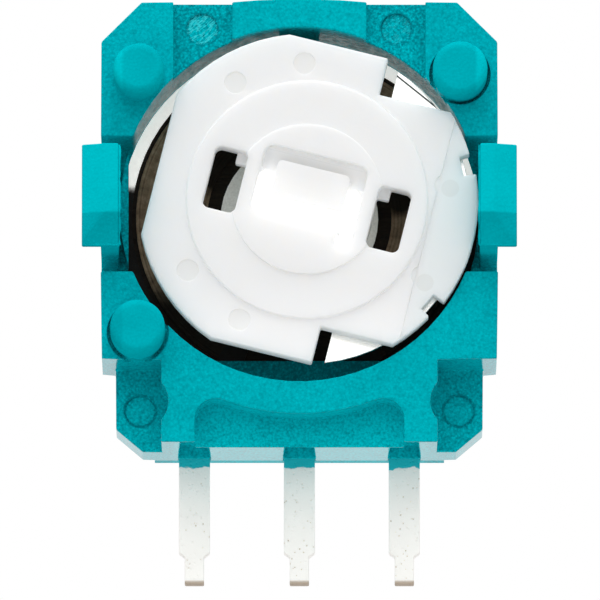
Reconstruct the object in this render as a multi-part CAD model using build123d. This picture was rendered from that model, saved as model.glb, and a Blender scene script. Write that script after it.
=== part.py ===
# Side potentiometer of a thumb joystick: a moulded housing on three flat pins, a printed
# resistor board in its floor, and a white rotor that carries the wiper over the track.
# Millimetres. Origin: middle of the pin row, where the pins leave the housing.
# +Z is up along the rotor side, the pins point down, and the rotor side faces -Y.
import math
import os
from build123d import *

# Rotor axis and front datum. Depths are measured back from the plane of the front pads.
AXIS_HEIGHT = 5.74          # rotor axis above the foot of the housing

# Housing outline, seen from the front and measured from the rotor axis
BODY_WIDTH = 9.44
BODY_TOP = 4.88
TOP_CHAMFER = 0.96
CROWN_RISE = 0.08           # bulge of the top edge over the middle block
LEDGE_DROP = 3.76           # where the body steps in to the narrower foot
FOOT_WIDTH = 8.74
FOOT_CHAMFER_WIDTH = 0.64
FOOT_CHAMFER_HEIGHT = 0.54
BODY_DEPTH = 2.32
FOOT_DEPTH = 2.65
REAR_SKIN = 0.32            # plastic behind the pins, at the back of the round rear pad
REAR_PAD_MARGIN = 0.13      # rear pad beyond the edge of the board
REAR_PAD_FOOT_MARGIN = 0.95 # rear pad beyond the outer pins
EDGE_ROUND = 0.08           # rounding that the mould leaves on outer corners
EJECTOR_RADIUS = 0.45       # shallow round marks in the two rear corners
EJECTOR_INSET = 1.00

# Bore, and the stepped front of the housing
BORE_RADIUS = 4.28
TOP_BLOCK_WIDTH = 3.20
CORNER_PAD_INSET = 3.00     # inner edge of the corner pads, from the axis
TOP_STEP = 0.30             # depth of the two fields between the pads
SHELF_DROP = 3.52           # straight edge of the shelf low in the bore
SHELF_THICKNESS = 0.51
ARCH_WIDTH = 0.78           # band of the arch below the bore
LEG_GAP = 4.97              # between the inner sides of the two legs
LEG_RECESS_DEPTH = 0.78
LEG_RECESS_ROUND = 0.50
LEG_OUTER = 3.28            # outer side of each leg, from the axis
SIDE_RECESS_DEPTH = 1.48
MARK_RADIUS = 0.37
MARK_DEPTH = 0.06
SIDE_MARK_X = 3.79
SIDE_MARK_Z = -4.75
SIDE_BULGE_RADIUS = 0.68    # round bite that the mark's insert takes from the leg
TOP_MARK_X = 2.31
TOP_MARK_Z = 4.28

# Snap arms in the side notches
NOTCH_HEIGHT = 3.26
NOTCH_REACH = 3.90          # inner edge of the notch, from the axis
NOTCH_FLOOR = 0.20          # plastic left over the board's rim in the notch
ARM_GAP = 0.01              # inner side of the arm beyond the bore
ARM_THICKNESS = 0.42
ARM_HEIGHT = 2.44
HOOK_REACH = 5.16           # outermost point of the hook, from the axis
HOOK_CATCH = 0.95           # catching face in front of the pads: the frame's wall fits between
HOOK_THICKNESS = 0.39       # depth of the hook, from its catching face to the nose
HOOK_NOSE = 0.33            # flat width of the nose
HOOK_RAMP = 0.20            # depth over which the nose widens to the full hook
HOOK_FACET_HEIGHT = 0.80    # sloped facet on the lower front edge
HOOK_FACET_DEPTH = 0.24

# Locating studs: across, up, radius, height, and the moat around two of them
STUD_X = 3.82
STUD_TOP_Z = 3.13
SLIM_STUD_Z = 3.10
STUD_LOW_X = 3.84
STUD_LOW_Z = -3.10
SLIM_STUD_RADIUS = 0.60
STUD_RADIUS = 0.65
SLIM_STUD_HEIGHT = 1.10
STUD_HEIGHT = 0.90
STUD_CHAMFER = 0.10
MOAT_WIDTH = 0.08
MOAT_DEPTH = 0.30

# Resistor board and its printed layers
BOARD_DEPTH = 2.10          # front face of the board
BOARD_THICKNESS = 0.35
BOARD_HOLD = 0.20           # rim of the board held by the moulding beyond the bore
BOARD_TAIL_MARGIN = 0.80    # tail beyond the outer eyelets
BOARD_TAIL_END = 0.60       # tail below the eyelets
PRINT_THICKNESS = 0.04
RING_RADIUS = 1.88          # outer edge of the collector ring
TRACK_INNER = 2.20
TRACK_MARGIN = 0.38         # carbon inside the wall of the bore
TRACK_GAP_ANGLE = 60.0      # opening of the carbon horseshoe, centred below the axis
ELECTRODE_ANGLE = 9.0       # silver pad at each end of the carbon
RIM_GAP = 0.10              # bare board between the carbon and the silver rim band
RIM_OVERLAP = 0.07          # rim band that runs on under the moulding
RIM_GAP_ANGLE = 12.0        # opening between the two bands at the top
LEAD_WIDTH = 0.50

# Pins: flat tinned strip, staked through the board by a drawn eyelet
PIN_PITCH = 2.50
PIN_WIDTH = 0.74
PIN_THICKNESS = 0.30
PIN_LENGTH = 3.03           # below the housing
PIN_TIP_WIDTH = 0.46
PIN_TIP_LENGTH = 0.66
PIN_SHOULDER = 0.10
PIN_HEAD_WIDTH = 1.30
PIN_HEAD_HEIGHT = 1.30
EYELET_DROP = 4.75          # eyelet centre below the rotor axis
EYELET_RADIUS = 0.36
EYELET_FLANGE_RADIUS = 0.58
EYELET_FLANGE_THICKNESS = 0.10
PIN_RELIEF_WIDTH = 0.63     # pocket under the foot in front of each pin, widening to the pin
PIN_RELIEF_HEIGHT = 0.34
PIN_RELIEF_SKIN = 0.06      # plastic left in front of the pocket and behind it

# Rotor
ROTOR_TURN = -14.0          # as it lies, seen from the front, anticlockwise positive
ROTOR_SHIFT = 0.18          # it lies to one side in its bearing until a shaft centres it
ROTOR_LIFT = 0.05
LOBE_CLEARANCE = 0.02       # lobe to the bore where it lies nearest
LOBE_RISE = 0.05            # lobe beyond the rest of the disc
LOBE_ANGLE = 23.0
LOBE_NOTCH_ANGLE = 7.0
LOBE_NOTCH_CUT = 0.31
SIDE_FLAT_CUT = 0.40
TOP_FLAT_CUT = 0.24
LOW_FLAT_CUT = 0.26
CORNER_CUT_X = 1.05
CORNER_CUT_Z = 2.88
RIM_PROUD = 0.25            # face of the rim in front of the pads
FACE_PROUD = 0.33
BOSS_PROUD = 0.38
FACE_RADIUS = 2.87
BOSS_RADIUS = 1.81
LOBE_STEP_X = 2.95
LOBE_STEP = 0.04
DISC_BACK = 0.30            # rear of the rotor disc behind the pads
DIMPLE_RADIUS = 0.26
DIMPLE_DEPTH = 0.03
STAKE_INSET = 0.30          # stake centres inside the edge of the wiper's ring
STAKE_ANGLES = (20, 105, 135)
STAKE_WIDTH = 0.36           # square posts, in square holes of the wiper
STAKE_HEAD_RADIUS = 0.34
STAKE_HEAD_THICKNESS = 0.13
STAKE_CLEARANCE = 0.02
WINDOW_INNER = 1.60
WINDOW_WIDTH = 0.80
WINDOW_HEIGHT = 1.52
WINDOW_ROUND = 0.16
WINDOW_LEDGE = 0.28
HUB_RADIUS = 1.56
HUB_CLEARANCE = 0.11        # end of the hub to the print
JOURNAL_RADIUS = 1.30
BEARING_CLEARANCE = 0.20    # radial, between journal and bearing hole
FLANGE_RADIUS = 1.62
FLANGE_THICKNESS = 0.24
FLANGE_WALL = 0.27          # plastic between the board and the pocket of the flange
FLANGE_CLEARANCE = 0.04
FLANGE_POCKET_CLEARANCE = 0.28

# Drive socket in the rotor: a slot under a tongue, with a sloped lead-in above it
SOCKET_WIDTH = 2.52
SOCKET_TOP = 1.09
SOCKET_LOW = -0.57
SOCKET_DEPTH = 0.90
SOCKET_ROUND = 0.24
LEAD_IN_DEPTH = 0.45
TONGUE_WIDTH = 1.76
TONGUE_LOW = -0.10
TONGUE_TOP = 0.79
TONGUE_ROUND = 0.12
TONGUE_BACK = 0.12          # face of the tongue behind the boss face
SLIT_TOP = 0.50             # upper end of the slits beside the tongue
SLIT_LOW = -0.95            # the slit on the driven side runs on below the slot
BLADE_SLOT_WIDTH = 1.80

# Wiper: sheet-metal ring staked under the rotor, with one arm for each contact
WIPER_THICKNESS = 0.12
WIPER_INNER = 2.65
WIPER_INSET = 0.42          # ring inside the edge of the rotor
WING_INSET = 0.21           # wing inside the lobe
WIPER_WING_X = 1.33
WIPER_NOTCH_X = 0.90
WIPER_NOTCH_Z = 2.80
ARM_SHEET = 0.10
ARM_LEVEL_LENGTH = 0.40     # straight root of an arm before it drops
TRACK_ARM_Z = 2.30
TRACK_ARM_ROOT = 1.60
TRACK_ARM_TIP = -0.70
TRACK_ARM_WIDTH = 0.40
RING_ARM_GAP = 0.05         # ring arm to the hub beside it
RING_ARM_ROOT = 2.20
RING_ARM_TIP = 0.20
RING_ARM_WIDTH = 0.26
FINGER_SLOT = 0.08
FINGER_LENGTH = 1.10
CONTACT_GAP = 0.03          # contact tip to print, so that the tip may slide

# Depths and radii that follow from the sizes above
BOARD_BACK = BOARD_DEPTH + BOARD_THICKNESS
FRONT_Y = -(BOARD_BACK + PIN_THICKNESS / 2)
PRINT_DEPTH = BOARD_DEPTH - PRINT_THICKNESS
HOOK_PROUD = HOOK_CATCH + HOOK_THICKNESS
NOTCH_DEPTH = BOARD_DEPTH - NOTCH_FLOOR
PIN_BACK = BOARD_BACK + PIN_THICKNESS
REAR_DEPTH = PIN_BACK + REAR_SKIN
FLANGE_SEAT_DEPTH = BOARD_BACK + FLANGE_WALL
HUB_BACK = PRINT_DEPTH - HUB_CLEARANCE
WIPER_BACK = DISC_BACK + WIPER_THICKNESS
BOARD_RADIUS = BORE_RADIUS + BOARD_HOLD
REAR_PAD_RADIUS = BOARD_RADIUS + REAR_PAD_MARGIN
ARCH_RADIUS = BORE_RADIUS + ARCH_WIDTH
TRACK_OUTER = BORE_RADIUS - TRACK_MARGIN
RIM_INNER = TRACK_OUTER + RIM_GAP
RIM_OUTER = BORE_RADIUS + RIM_OVERLAP
BEARING_RADIUS = JOURNAL_RADIUS + BEARING_CLEARANCE
ARM_INNER = BORE_RADIUS + ARM_GAP
LOBE_RADIUS = BORE_RADIUS - math.hypot(ROTOR_SHIFT, ROTOR_LIFT) - LOBE_CLEARANCE
ROTOR_RADIUS = LOBE_RADIUS - LOBE_RISE
LOBE_NOTCH_RADIUS = LOBE_RADIUS - LOBE_NOTCH_CUT
WIPER_OUTER = ROTOR_RADIUS - WIPER_INSET
WING_RADIUS = LOBE_RADIUS - WING_INSET
STAKE_CIRCLE = WIPER_OUTER - STAKE_INSET
RING_ARM_Z = -(HUB_RADIUS + RING_ARM_GAP + RING_ARM_WIDTH / 2)
PIN_PLACES = (-PIN_PITCH, 0.0, PIN_PITCH)


def front_plane(depth):
    """Plane facing the viewer at a depth behind the front pads, centred on the rotor axis."""
    return Plane(origin=(0, FRONT_Y + depth, AXIS_HEIGHT), x_dir=(1, 0, 0), z_dir=(0, -1, 0))


def slab(outline, near, far):
    """Solid of a front-view outline between two depths."""
    return extrude(front_plane(far) * outline, amount=far - near)


def outline_of(*points):
    """Face bounded by straight lines through the points."""
    return make_face(Polyline(*points, close=True))


def window(left, right, low, high):
    """Upright rectangle in the front view."""
    return outline_of((left, low), (right, low), (right, high), (left, high))


def polar(radius, degrees):
    """Point at a radius and an angle in the front view."""
    return (radius * math.cos(math.radians(degrees)), radius * math.sin(math.radians(degrees)))


def sector(inner, outer, start, end):
    """Part of a flat ring between two angles."""
    middle = (start + end) / 2
    edges = [
        ThreePointArc(polar(outer, start), polar(outer, middle), polar(outer, end)),
        Line(polar(outer, end), polar(inner, end)),
        ThreePointArc(polar(inner, end), polar(inner, middle), polar(inner, start)),
        Line(polar(inner, start), polar(outer, start)),
    ]
    return make_face(edges)


def both_sides(shape):
    """The shape and its mirror image across the middle of the part."""
    return shape + mirror(shape, about=Plane.YZ)


# Housing

def body_outline():
    """Upper body with its two chamfered corners and the slight crown of the top edge."""
    side = BODY_WIDTH / 2
    corner = side - TOP_CHAMFER
    crown = TOP_BLOCK_WIDTH / 2
    edges = [
        Polyline(
            (-crown, BODY_TOP),
            (-corner, BODY_TOP),
            (-side, BODY_TOP - TOP_CHAMFER),
            (-side, -LEDGE_DROP),
            (side, -LEDGE_DROP),
            (side, BODY_TOP - TOP_CHAMFER),
            (corner, BODY_TOP),
            (crown, BODY_TOP),
        ),
        ThreePointArc((crown, BODY_TOP), (0, BODY_TOP + CROWN_RISE), (-crown, BODY_TOP)),
    ]
    return make_face(edges)


def foot_outline():
    """Narrower foot with its two chamfered lower corners."""
    side = FOOT_WIDTH / 2
    return outline_of(
        (-side, -LEDGE_DROP),
        (-side, FOOT_CHAMFER_HEIGHT - AXIS_HEIGHT),
        (FOOT_CHAMFER_WIDTH - side, -AXIS_HEIGHT),
        (side - FOOT_CHAMFER_WIDTH, -AXIS_HEIGHT),
        (side, FOOT_CHAMFER_HEIGHT - AXIS_HEIGHT),
        (side, -LEDGE_DROP),
    )


def rounded_blocks():
    """Body and foot with their long outer edges rounded as the mould leaves them."""
    body = slab(body_outline(), 0, BODY_DEPTH)
    body = fillet(body.edges().filter_by(Axis.Y), EDGE_ROUND)
    foot = slab(foot_outline(), 0, FOOT_DEPTH)
    low = foot.edges().filter_by(Axis.Y).sort_by(Axis.Z)[:4]
    return body + fillet(low, EDGE_ROUND)


def rear_pad():
    """Raised round pad behind the board, running down over the pin row."""
    half = PIN_PITCH + REAR_PAD_FOOT_MARGIN
    outline = Circle(REAR_PAD_RADIUS) + window(-half, half, -AXIS_HEIGHT, 0)
    top = window(-BODY_WIDTH, BODY_WIDTH, -AXIS_HEIGHT, BODY_TOP)
    return slab(outline & top, NOTCH_DEPTH, REAR_DEPTH)


def leg_recess():
    """Field between the legs, under the arch."""
    half = LEG_GAP / 2
    field = window(-half, half, -AXIS_HEIGHT, -BORE_RADIUS) - Circle(ARCH_RADIUS)
    shoulders = field.vertices().sort_by(Axis.Y)[-2:]
    leg_height = AXIS_HEIGHT - math.sqrt(ARCH_RADIUS ** 2 - half ** 2)
    rounding = min(LEG_RECESS_ROUND, 0.4 * leg_height)
    return slab(fillet(shoulders, rounding), 0, LEG_RECESS_DEPTH)


def side_recess():
    """Deep field outside the right leg, with the round bite of its marking insert."""
    field = window(LEG_OUTER, BODY_WIDTH, -AXIS_HEIGHT, -LEDGE_DROP)
    below_ledge = window(0, BODY_WIDTH, -AXIS_HEIGHT, -LEDGE_DROP)
    bite = Pos(SIDE_MARK_X, SIDE_MARK_Z) * Circle(SIDE_BULGE_RADIUS)
    mark = Pos(SIDE_MARK_X, SIDE_MARK_Z) * Circle(MARK_RADIUS)
    floor = SIDE_RECESS_DEPTH
    return slab(field + (bite & below_ledge), 0, floor) + slab(mark, 0, floor + MARK_DEPTH)


def top_recess():
    """Shallow field between the middle block and the right corner pad, with a round mark."""
    field = window(TOP_BLOCK_WIDTH / 2, CORNER_PAD_INSET, 0, BODY_TOP + CROWN_RISE)
    mark = Pos(TOP_MARK_X, TOP_MARK_Z) * Circle(MARK_RADIUS)
    return slab(field, 0, TOP_STEP) + slab(mark, 0, TOP_STEP + MARK_DEPTH)


def side_notch():
    """Opening in the right side that the snap arm stands in."""
    half = NOTCH_HEIGHT / 2
    return slab(window(NOTCH_REACH, BODY_WIDTH, -half, half), -HOOK_PROUD, NOTCH_DEPTH)


def snap_arm():
    """Right snap arm: a plain post with a thin hook in front, its lower edge sloped off."""
    root = FRONT_Y + NOTCH_DEPTH + NOTCH_FLOOR / 2
    nose = FRONT_Y - HOOK_PROUD
    catch = FRONT_Y - HOOK_CATCH
    back = ARM_INNER + ARM_THICKNESS
    profile = outline_of(
        (ARM_INNER, root),
        (ARM_INNER, nose),
        (ARM_INNER + HOOK_NOSE, nose),
        (HOOK_REACH, nose + HOOK_RAMP),
        (HOOK_REACH, catch),
        (back, catch),
        (back, root),
    )
    low = AXIS_HEIGHT - ARM_HEIGHT / 2
    arm = extrude(Pos(0, 0, low) * profile, amount=ARM_HEIGHT)
    facet = outline_of((nose, low), (nose + HOOK_FACET_DEPTH, low), (nose, low + HOOK_FACET_HEIGHT))
    wedge = extrude(Plane.YZ.offset(ARM_INNER) * facet, amount=HOOK_REACH - ARM_INNER)
    return arm - wedge


def stud(across, up, radius, height):
    """Round locating stud with a softened tip."""
    peg = slab(Pos(across, up) * Circle(radius), -height, 0)
    return chamfer(peg.edges().sort_by(Axis.Y)[0], STUD_CHAMFER)


def moat(across, up):
    """Ring groove round the foot of a full-size stud."""
    ring = Circle(STUD_RADIUS + MOAT_WIDTH) - Circle(STUD_RADIUS)
    return slab(Pos(across, up) * ring, 0, MOAT_DEPTH)


def shelf():
    """Segment that covers the lower edge of the board inside the bore."""
    below = window(-BORE_RADIUS, BORE_RADIUS, -AXIS_HEIGHT, -SHELF_DROP)
    return slab(Circle(BORE_RADIUS) & below, PRINT_DEPTH - SHELF_THICKNESS, PRINT_DEPTH)


def ejector_mark():
    """Shallow round mark in the rear of the right upper corner."""
    place = Pos(BODY_WIDTH / 2 - EJECTOR_INSET, BODY_TOP - EJECTOR_INSET)
    return slab(place * Circle(EJECTOR_RADIUS), BODY_DEPTH - MARK_DEPTH, BODY_DEPTH)


def pin_relief(across):
    """Pocket in the underside of the foot, from the skin of its front to a pin."""
    near = FRONT_Y + PIN_RELIEF_SKIN
    far = FRONT_Y + BOARD_BACK - PIN_RELIEF_SKIN
    narrow = PIN_RELIEF_WIDTH / 2
    wide = PIN_WIDTH / 2
    outline = outline_of((-narrow, near), (narrow, near), (wide, far), (-wide, far))
    pocket = extrude(Pos(across, 0, 0) * outline, amount=PIN_RELIEF_HEIGHT)
    half = LEG_GAP / 2
    between_legs = window(-half, half, -AXIS_HEIGHT, 0)
    return pocket - slab(between_legs, 0, LEG_RECESS_DEPTH + PIN_RELIEF_SKIN)


def housing(inserts):
    """The whole moulding, formed round the board and the pins."""
    solid = rounded_blocks() + rear_pad()
    solid -= slab(Circle(BORE_RADIUS), 0, BOARD_DEPTH)
    solid -= both_sides(top_recess()) + leg_recess() + both_sides(side_recess())
    solid -= both_sides(side_notch()) + both_sides(ejector_mark())
    solid += both_sides(snap_arm()) + shelf()
    solid += stud(-STUD_X, SLIM_STUD_Z, SLIM_STUD_RADIUS, SLIM_STUD_HEIGHT)
    for across, up in ((STUD_X, STUD_TOP_Z), (-STUD_LOW_X, STUD_LOW_Z)):
        solid -= moat(across, up)
        solid += stud(across, up, STUD_RADIUS, STUD_HEIGHT)
    solid -= slab(Circle(BEARING_RADIUS), BOARD_DEPTH, REAR_DEPTH)
    pocket = Circle(FLANGE_RADIUS + FLANGE_POCKET_CLEARANCE)
    solid -= slab(pocket, FLANGE_SEAT_DEPTH, REAR_DEPTH)
    for across in PIN_PLACES:
        solid -= pin_relief(across)
    for piece in inserts:
        solid -= piece
    return solid


# Resistor board and printed layers

def board():
    """Laminate disc with a tail over the pins, punched for the rotor and the eyelets."""
    half = PIN_PITCH + BOARD_TAIL_MARGIN
    outline = Circle(BOARD_RADIUS) + window(-half, half, -EYELET_DROP - BOARD_TAIL_END, 0)
    outline -= Circle(BEARING_RADIUS)
    for across in PIN_PLACES:
        outline -= Pos(across, -EYELET_DROP) * Circle(EYELET_RADIUS)
    return slab(outline, BOARD_DEPTH, BOARD_BACK)


def printed(outline):
    """A printed layer on the front of the board."""
    return slab(outline, PRINT_DEPTH, BOARD_DEPTH)


def land(across):
    """Silver land round an eyelet."""
    ring = Circle(EYELET_FLANGE_RADIUS) - Circle(EYELET_RADIUS)
    return Pos(across, -EYELET_DROP) * ring


def carbon_track():
    """Horseshoe of resistive ink, open at the bottom."""
    half = TRACK_GAP_ANGLE / 2
    return printed(sector(TRACK_INNER, TRACK_OUTER, -90 + half, 270 - half))


def collector_ring():
    """Silver ring round the bearing hole, with its lead down to the middle pin."""
    outline = Circle(RING_RADIUS) - Circle(BEARING_RADIUS)
    half = LEAD_WIDTH / 2
    run = window(-half, half, -EYELET_DROP, -(RING_RADIUS + BEARING_RADIUS) / 2)
    run -= Pos(0, -EYELET_DROP) * Circle(EYELET_RADIUS)
    return printed(outline + run + land(0))


def end_lead_right():
    """Silver at the right end of the carbon: end pad, land at the pin and rim band."""
    end = -90 + TRACK_GAP_ANGLE / 2
    pad = sector(TRACK_INNER, TRACK_OUTER, end - ELECTRODE_ANGLE, end)
    bridge = sector(TRACK_OUTER, RIM_OUTER, end - ELECTRODE_ANGLE, end)
    band = sector(RIM_INNER, RIM_OUTER, end - ELECTRODE_ANGLE, 90 - RIM_GAP_ANGLE / 2)
    inner_x, inner_z = polar(TRACK_OUTER, end - ELECTRODE_ANGLE)
    outer_x, outer_z = polar(TRACK_OUTER, end)
    run = outline_of(
        (inner_x, inner_z),
        (outer_x, outer_z),
        (PIN_PITCH + LEAD_WIDTH / 2, -EYELET_DROP),
        (PIN_PITCH - LEAD_WIDTH / 2, -EYELET_DROP),
    )
    run -= Pos(PIN_PITCH, -EYELET_DROP) * Circle(EYELET_RADIUS)
    return printed(pad + bridge + band + run + land(PIN_PITCH))


# Pins

def pin(across):
    """Flat pin with a stepped tip below, and a wide head with its drawn eyelet above."""
    wide = PIN_WIDTH / 2
    tip = PIN_TIP_WIDTH / 2
    head = PIN_HEAD_WIDTH / 2
    foot = -AXIS_HEIGHT
    end = foot - PIN_LENGTH
    step = end + PIN_TIP_LENGTH
    head_low = -EYELET_DROP - PIN_HEAD_HEIGHT / 2
    outline = outline_of(
        (-tip, end),
        (tip, end),
        (tip, step),
        (wide, step + PIN_SHOULDER),
        (wide, head_low),
        (head, head_low),
        (head, head_low + PIN_HEAD_HEIGHT),
        (-head, head_low + PIN_HEAD_HEIGHT),
        (-head, head_low),
        (-wide, head_low),
        (-wide, step + PIN_SHOULDER),
        (-tip, step),
    )
    centre = Pos(0, -EYELET_DROP)
    strip = slab(outline, BOARD_BACK, PIN_BACK)
    tube = slab(centre * Circle(EYELET_RADIUS), PRINT_DEPTH, BOARD_BACK)
    flange_front = PRINT_DEPTH - EYELET_FLANGE_THICKNESS
    flange = slab(centre * Circle(EYELET_FLANGE_RADIUS), flange_front, PRINT_DEPTH)
    return Pos(across, 0, 0) * (strip + tube + flange)


# Rotor

def rotor_outline():
    """Disc with a lobe on the driven side, flats on the other three and two corner cuts."""
    reach = 2 * LOBE_RADIUS
    outline = Circle(ROTOR_RADIUS) + sector(BOSS_RADIUS, LOBE_RADIUS, -LOBE_ANGLE, LOBE_ANGLE)
    top = ROTOR_RADIUS - TOP_FLAT_CUT
    outline &= window(SIDE_FLAT_CUT - ROTOR_RADIUS, reach, LOW_FLAT_CUT - ROTOR_RADIUS, top)
    for side in (-1, 1):
        start, stop = sorted((side * LOBE_ANGLE, side * (LOBE_ANGLE + LOBE_NOTCH_ANGLE)))
        outline -= sector(LOBE_NOTCH_RADIUS, reach, start, stop)
        low, high = sorted((side * CORNER_CUT_Z, side * reach))
        outline -= window(CORNER_CUT_X, reach, low, high)
    return outline


def window_outline(side):
    """Rounded window beside the socket."""
    shape = RectangleRounded(WINDOW_WIDTH, WINDOW_HEIGHT, WINDOW_ROUND)
    return Pos(side * (WINDOW_INNER + WINDOW_WIDTH / 2), 0) * shape


def window_ledge(side):
    """Small block that fills the upper inner corner of a window, sunk below the face."""
    near, far = sorted((side * WINDOW_INNER, side * (WINDOW_INNER + WINDOW_LEDGE)))
    top = WINDOW_HEIGHT / 2
    return slab(window(near, far, top - WINDOW_LEDGE, top), 0, DISC_BACK)


def stakes(outline, near, far):
    """Solids of one outline at the six staking points under the rim, turned to the axis."""
    angles = [side * angle for angle in STAKE_ANGLES for side in (-1, 1)]
    places = [Rot(0, 0, angle) * Pos(STAKE_CIRCLE, 0) for angle in angles]
    return [slab(place * outline, near, far) for place in places]


def socket_cut():
    """Slot, slits and lead-in round the tongue that takes the stick's drive blade."""
    half = SOCKET_WIDTH / 2
    front = -2 * BOSS_PROUD
    tongue_half = TONGUE_WIDTH / 2
    tongue = window(-tongue_half, tongue_half, TONGUE_LOW, TONGUE_TOP)
    tongue = fillet(tongue.vertices().sort_by(Axis.Y)[-2:], TONGUE_ROUND)
    mouth_height = SOCKET_TOP - SOCKET_LOW
    mouth = Pos(0, SOCKET_LOW + mouth_height / 2)
    mouth *= RectangleRounded(SOCKET_WIDTH, mouth_height, SOCKET_ROUND)
    pocket_height = SLIT_TOP - SOCKET_LOW
    pocket = Pos(0, SOCKET_LOW + pocket_height / 2)
    pocket *= RectangleRounded(SOCKET_WIDTH, pocket_height, SOCKET_ROUND)
    cut = slab(pocket - tongue, front, SOCKET_DEPTH)
    slit = window(tongue_half, half, SLIT_LOW, 0)
    slit = fillet(slit.vertices().sort_by(Axis.Y)[:2], (half - tongue_half) / 3)
    cut += slab(slit, front, DISC_BACK)
    cut += slab(mouth, front, TONGUE_BACK - BOSS_PROUD)
    slope = outline_of(
        (FRONT_Y - BOSS_PROUD, AXIS_HEIGHT + SOCKET_TOP),
        (FRONT_Y - BOSS_PROUD, AXIS_HEIGHT + SLIT_TOP),
        (FRONT_Y + LEAD_IN_DEPTH, AXIS_HEIGHT + SLIT_TOP),
    )
    lead_in = extrude(Plane.YZ.offset(-half) * slope, amount=SOCKET_WIDTH)
    cut += lead_in & slab(mouth - tongue, front, SOCKET_DEPTH)
    blade = window(-BLADE_SLOT_WIDTH / 2, BLADE_SLOT_WIDTH / 2, SOCKET_LOW, TONGUE_LOW)
    return cut + slab(blade, front, REAR_DEPTH)


def rotor():
    """White moulding: stepped disc, hub, journal through the board and formed rear flange."""
    outline = rotor_outline()
    solid = slab(outline, -RIM_PROUD, DISC_BACK)
    solid += slab(Circle(FACE_RADIUS), -FACE_PROUD, 0)
    solid += slab(Circle(BOSS_RADIUS), -BOSS_PROUD, 0)
    step = window(LOBE_STEP_X, 2 * LOBE_RADIUS, -LOBE_RADIUS, LOBE_RADIUS)
    solid -= slab(step, -BOSS_PROUD, LOBE_STEP - RIM_PROUD)
    flange_front = FLANGE_SEAT_DEPTH + FLANGE_CLEARANCE
    solid += slab(Circle(HUB_RADIUS), 0, HUB_BACK)
    solid += slab(Circle(JOURNAL_RADIUS), HUB_BACK, flange_front)
    solid += slab(Circle(FLANGE_RADIUS), flange_front, flange_front + FLANGE_THICKNESS)
    for side in (-1, 1):
        solid -= slab(window_outline(side), -BOSS_PROUD, DISC_BACK)
        solid += window_ledge(side)
    for dimple in stakes(Circle(DIMPLE_RADIUS), -BOSS_PROUD, DIMPLE_DEPTH - RIM_PROUD):
        solid -= dimple
    for post in stakes(Rectangle(STAKE_WIDTH, STAKE_WIDTH), DISC_BACK, WIPER_BACK):
        solid += post
    head_back = WIPER_BACK + STAKE_HEAD_THICKNESS
    for head in stakes(Circle(STAKE_HEAD_RADIUS), WIPER_BACK, head_back):
        solid += head
    return solid - socket_cut()


# Wiper

def contact_arm(centre_z, width, root_x, tip_x):
    """Spring arm that drops from the ring to the print and turns up again at its tip."""
    level = DISC_BACK + ARM_SHEET / 2
    touch = PRINT_DEPTH - CONTACT_GAP - ARM_SHEET / 2
    bend_x = root_x - ARM_LEVEL_LENGTH
    path = FilletPolyline(
        (root_x, level),
        (bend_x, level),
        (tip_x, touch),
        (tip_x - 3 * ARM_SHEET, touch - 2 * ARM_SHEET),
        radius=ARM_SHEET,
    )
    low = AXIS_HEIGHT + centre_z - width / 2
    strip = extrude(Pos(0, FRONT_Y, low) * trace(path, ARM_SHEET), amount=width)
    gap = FINGER_SLOT / 2
    split = window(tip_x - 5 * ARM_SHEET, tip_x + FINGER_LENGTH, centre_z - gap, centre_z + gap)
    return strip - slab(split, DISC_BACK, BOARD_DEPTH)


def wiper():
    """Stamped ring with a wing on the driven side, staking holes and two contact arms."""
    reach = 2 * WING_RADIUS
    wing = Circle(WING_RADIUS) & window(WIPER_WING_X, reach, -reach, reach)
    outline = Circle(WIPER_OUTER) + wing
    for side in (-1, 1):
        low, high = sorted((side * WIPER_NOTCH_Z, side * reach))
        outline -= window(WIPER_NOTCH_X, WIPER_WING_X, low, high)
    outline -= Circle(WIPER_INNER)
    solid = slab(outline, DISC_BACK, WIPER_BACK)
    hole_width = STAKE_WIDTH + 2 * STAKE_CLEARANCE
    for hole in stakes(Rectangle(hole_width, hole_width), DISC_BACK, WIPER_BACK):
        solid -= hole
    solid += contact_arm(TRACK_ARM_Z, TRACK_ARM_WIDTH, TRACK_ARM_ROOT, TRACK_ARM_TIP)
    solid += contact_arm(RING_ARM_Z, RING_ARM_WIDTH, RING_ARM_ROOT, RING_ARM_TIP)
    return solid


def as_it_lies(shape):
    """Turns a rotor piece to the angle it rests at and shifts it to where its bearing holds it."""
    axis = Axis((0, 0, AXIS_HEIGHT), (0, -1, 0))
    return Pos(ROTOR_SHIFT, 0, ROTOR_LIFT) * shape.rotate(axis, ROTOR_TURN)


def main():
    lead = end_lead_right()
    nodes = {
        "resistor_board": board(),
        "carbon_track": carbon_track(),
        "collector_ring": collector_ring(),
        "end_lead_left": mirror(lead, about=Plane.YZ),
        "end_lead_right": lead,
    }
    for name, across in zip(("left", "centre", "right"), PIN_PLACES):
        nodes["terminal_" + name] = pin(across)
    nodes["housing"] = housing(list(nodes.values()))
    nodes["rotor"] = as_it_lies(rotor())
    nodes["wiper"] = as_it_lies(wiper())
    os.makedirs("parts", exist_ok=True)
    for name, shape in nodes.items():
        export_step(shape, "parts/" + name + ".step")


main()
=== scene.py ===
import math
import bmesh
import bpy
from mathutils import Matrix, Vector


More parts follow.
